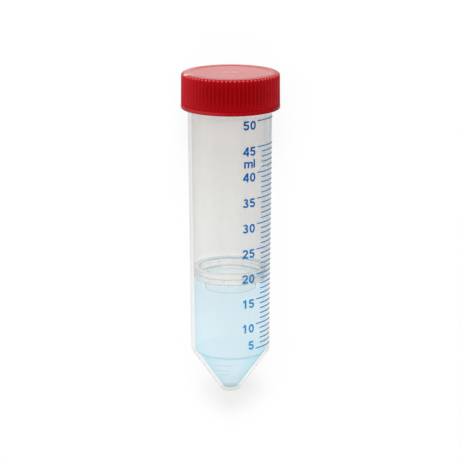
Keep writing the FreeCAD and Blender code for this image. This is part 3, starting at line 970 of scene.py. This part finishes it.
def strip_mesh(left, right):
    """A thin raised strip between two rows of (bearing, height) points."""
    verts, faces = [], []
    for left_point, right_point in zip(left, right):
        for out in (0.0, PRINT_THICK):
            verts.append(on_wall(*left_point, out))
            verts.append(on_wall(*right_point, out))
    last = 4 * (len(left) - 1)
    for b in range(0, last, 4):
        t = b + 4
        faces.append((b + 2, b + 3, t + 3, t + 2))
        faces.append((b, t, t + 1, b + 1))
        faces.append((b, b + 2, t + 2, t))
        faces.append((b + 1, t + 1, t + 3, b + 3))
    faces.append((0, 1, 3, 2))
    faces.append((last, last + 2, last + 3, last + 1))
    return verts, faces


def ink_piece(name, parts, thin=0.0):
    """One printed piece. Lines are fainter where they turn away and towards the tube's foot."""
    verts, faces = join(parts)
    z, _, bearing = columns(verts)[2:]
    faint = np.maximum(fade(np.abs(bearing), 48.0, 60.0), np.clip(0.8 * (32.0 - z) / 12.0, 0, 1))
    make_object(name, verts, faces, INK_MAT, "tube_body", attrs={"up": z, "thin": thin * (1 + 0.5 * faint)})


def tick(z, start):
    """A graduation line from a bearing to the outline."""
    angles = [start + (LINE_END - start) * k / LINE_STEPS for k in range(LINE_STEPS + 1)]
    return strip_mesh([(a, z - LINE_H / 2) for a in angles], [(a, z + LINE_H / 2) for a in angles])


ticks = []
for value in range(5, LAST_VALUE + 1):
    if value % 5 == 0:
        ticks.append(tick(line_z(value), LONG_START))
    elif value < SINGLE_LINES_END:
        ticks.append(tick(line_z(value), SHORT_START))
ink_piece("graduation_lines", ticks, 1.0)

# numerals: centre lines in a box 1 high, drawn with a stroke of one width
STROKE = 0.195
DIGIT_ADVANCE = 0.775
DIGIT_SPACE, LETTER_SPACE = 0.115, 0.08       # empty part of the last character's advance


def digit(ch):
    """Strokes of one digit, in heights."""
    h = STROKE / 2
    if ch == "0":
        return [bow(0.33, 0.5, 0.33 - h, 0.5 - h, 90, 450, 36)]
    if ch == "1":
        flag = [(0.13, 0.74), (0.27, 0.775), (0.36, 0.86), (0.385, 1.0 - h * 0.4)]
        return [[(0.40, 0.0), (0.40, 1.0)], flag]
    if ch == "2":
        top = bow(0.325, 0.69, 0.325 - h, 0.31 - h, 172, -38)
        return [top + [(0.36, 0.36), (0.20, 0.22), (0.09, 0.02 + h)], [(0.02, h), (0.66, h)]]
    if ch == "3":
        top = bow(0.325, 0.735, 0.28 - h, 0.265 - h, 160, -78, 16)
        low = bow(0.325, 0.285, 0.325 - h, 0.285 - h, 78, -165)
        return [top, low, [(0.26, 0.53), (0.38, 0.53)]]
    if ch == "4":
        bar = 0.24 + h * 0.5
        return [[(0.50, 0.0), (0.50, 1.0)], [(0.47, 0.93), (0.08, 0.31)], [(0.0, bar), (0.66, bar)]]
    if ch == "5":
        low = bow(0.325, 0.335, 0.325 - h, 0.335 - h, 128, -168, 22)
        return [[(0.60, 1.0 - h), (0.15, 1.0 - h)], [(0.165, 1.0 - h * 0.3), (0.095, 0.50)], low]
    raise ValueError(ch)


def letter(ch):
    """Strokes of one letter of the unit, and its advance, in heights."""
    h = STROKE / 2
    if ch == "l":
        return [[(h, 0.0), (h, 1.0)]], 0.26
    x_height = 0.735
    strokes = [[(h, 0.0), (h, x_height)]]
    for middle, foot in ((0.29, 0.50), (0.71, 0.92)):
        strokes.append(bow(middle, x_height - 0.21, 0.21, 0.21 - h, 170, 0, 12) + [(foot, 0.0)])
    return strokes, 1.10


def stroke_strip(points, width):
    """Left and right edges of a stroke with square ends, as points in heights."""
    p = [Vector(q) for q in points]
    left, right = [], []
    for i, q in enumerate(p):
        a = p[i - 1] if i else q
        b = p[i + 1] if i + 1 < len(p) else q
        d, reach = (b - a).normalized(), 1.0
        if 0 < i < len(p) - 1:
            before, after = (q - a).normalized(), (b - q).normalized()
            d = (before + after).normalized()
            reach = 1.0 / max(0.6, d.dot(after))
        side = Vector((-d.y, d.x)) * width / 2 * reach
        left.append(q + side)
        right.append(q - side)
    return left, right


def fine(points):
    """The same line with no long steps, so that it follows the wall's curve."""
    out = [points[0]]
    for a, b in zip(points[:-1], points[1:]):
        n = max(1, int(math.dist(a, b) / 0.09))
        out += run(a, b, n) + [b]
    return out


def word(text, height, right_bearing, base_z, stretch):
    """Characters on the wall, ending at a bearing and stretched sideways."""
    strokes, x = [], 0.0
    for ch in text:
        lines, advance = (digit(ch), DIGIT_ADVANCE) if ch.isdigit() else letter(ch)
        strokes += [(x, line) for line in lines]
        x += advance
    width = x - (DIGIT_SPACE if text[-1].isdigit() else LETTER_SPACE)
    r = body_r(base_z)

    def place(edge, start):
        """Bearings and heights of a stroke's edge, for a character that starts somewhere."""
        return [(right_bearing + math.degrees((q.x + start - width) * height * stretch / r),
                 base_z + q.y * height) for q in edge]

    parts = []
    for start, line in strokes:
        left, right = stroke_strip(fine(line), STROKE)
        parts.append(strip_mesh(place(right, start), place(left, start)))
    return parts


NUMBER_H, NUMBER_RIGHT, NUMBER_STRETCH = 3.2, 35.6, 1.04
UNIT_H, UNIT_RIGHT, UNIT_STRETCH = 3.05, 34.6, 1.06
UNIT_Z = 84.05
PAST_LINE = 0.2              # a number reaches this far past the middle of its line
for value in range(5, LAST_VALUE + 1, 5):
    # numbers hang from their lines, and the lowest one stands on it
    base_z = line_z(value) - PAST_LINE if value == 5 else line_z(value) + PAST_LINE - NUMBER_H
    digits = word(str(value), NUMBER_H, NUMBER_RIGHT, base_z, NUMBER_STRETCH)
    ink_piece(f"number_{value:02d}", digits)
ink_piece("unit_ml", word("ml", UNIT_H, UNIT_RIGHT, UNIT_Z, UNIT_STRETCH))

# ------------------------------------------------------------------ floor, light and camera
FLOOR_HALF = 3.0
floor_me = bpy.data.meshes.new("studio_floor")
corners = [(x * FLOOR_HALF, y * FLOOR_HALF, 0) for x, y in ((-1, -1), (1, -1), (1, 1), (-1, 1))]
floor_me.from_pydata(corners, [], [(0, 1, 2, 3)])
floor = bpy.data.objects.new("studio_floor", floor_me)
floor_me.materials.append(FLOOR_MAT)
bpy.context.scene.collection.objects.link(floor)


def white_room():
    """White where the camera sees it, brighter near the horizon in mirrors, and even light elsewhere."""
    world = bpy.data.worlds.new("studio")
    world.use_nodes = True
    n = Net(world)
    path = n.add("ShaderNodeLightPath").outputs
    direction = n.add("ShaderNodeTexCoord").outputs["Generated"]
    height = n.add("ShaderNodeSeparateXYZ", {0: direction}).outputs["Z"]
    light = n.mix(path["Is Glossy Ray"], 0.56, n.span(height, 0.0, 1.0, 0.95, 0.12), kind="FLOAT")
    light = n.mix(path["Is Camera Ray"], light, 1.0, kind="FLOAT")
    sky = n.add("ShaderNodeBackground", {"Color": (1, 1, 1, 1), "Strength": light}).outputs[0]
    n.add("ShaderNodeOutputWorld", {"Surface": sky})
    return world


def softbox(name, place, size, power):
    """A square lamp, aimed at the row frame's origin, that leaves no mirror image."""
    lamp = bpy.data.lights.new(name, "AREA")
    lamp.shape = "SQUARE"
    lamp.size = size
    lamp.energy = power
    ob = bpy.data.objects.new(name, lamp)
    bpy.context.scene.collection.objects.link(ob)
    ob.location = place
    ob.rotation_euler = (Vector() - Vector(place)).to_track_quat("-Z", "Y").to_euler()
    ob.visible_glossy = False


bpy.context.scene.world = white_room()
softbox("key_softbox", (-1.2, 0.8, 2.2), 1.8, 13.0)
softbox("head_softbox", (0.0, 1.9, 1.9), 1.2, 50.0)

CAMERA_AT = (-0.17, -650.0, 227.33)           # own frame, mm
CAMERA_PITCH = math.radians(14.536)
cam_data = bpy.data.cameras.new("photo_camera")
cam_data.sensor_width = 36.0
cam_data.lens = 149.33
cam_data.clip_start = 0.01
cam_data.clip_end = 20.0
camera = bpy.data.objects.new("photo_camera", cam_data)
bpy.context.scene.collection.objects.link(camera)
# it looks at the tube as if that stood upright, so its axes are laid down with the tube
right = LAY @ np.array([1.0, 0.0, 0.0])
upward = LAY @ np.array([0.0, math.sin(CAMERA_PITCH), math.cos(CAMERA_PITCH)])
backward = LAY @ np.array([0.0, -math.cos(CAMERA_PITCH), math.sin(CAMERA_PITCH)])
turn = Matrix(np.column_stack((right, upward, backward)).tolist()).to_4x4()
camera.matrix_world = Matrix.Translation(Vector(to_row(CAMERA_AT))) @ turn
bpy.context.scene.camera = camera
bpy.context.scene.view_settings.view_transform = "Standard"
# a look through the closed tube meets more clear faces than the default lets pass
bpy.context.scene.cycles.transparent_max_bounces = 32
